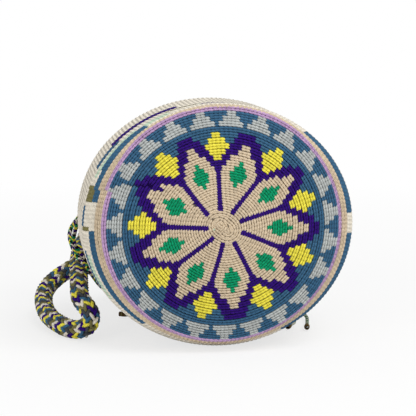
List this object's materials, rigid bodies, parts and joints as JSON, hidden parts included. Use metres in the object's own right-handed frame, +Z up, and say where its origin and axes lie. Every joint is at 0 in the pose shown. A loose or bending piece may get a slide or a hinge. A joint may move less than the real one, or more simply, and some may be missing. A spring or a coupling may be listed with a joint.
{
  "type": "crossbody bag",
  "caption": "Round-bottomed crocheted bucket bag lying on its side, stuffed full, with a gathered drawstring mouth, wrapped cord tips and a braided shoulder strap.",
  "frame": {"origin": "on the surface that the bag lies on, under the middle of the bag's own box, cords left out", "axes": "+X to the right seen from the base, +Y along the bag from its base to its mouth, +Z up"},
  "size_m": [0.329, 0.3851, 0.2526],
  "materials": {
    "crochet": "matte crocheted cotton yarn in beige, blue, purple, green, yellow, grey, lilac and cream",
    "strap_braid": "matte braided yarn in cream, purple, yellow, blue, grey and olive",
    "string_braid": "matte thin braid in green, yellow, purple and cream",
    "whipping": "matte wrapped yarn in brown and olive"
  },
  "bodies": {
    "root": {"bag_body": "crochet", "shoulder_strap": "strap_braid", "strap_end_left": "whipping", "strap_end_right": "whipping", "drawstring": "string_braid", "knot_left": "string_braid", "knot_right": "string_braid", "tail_left_1": "string_braid", "tail_left_2": "string_braid", "tail_right_1": "string_braid", "tail_right_2": "string_braid", "tip_left_1": "whipping", "tip_left_2": "whipping", "tip_right_1": "whipping", "tip_right_2": "whipping"}
  },
  "joints": []
}
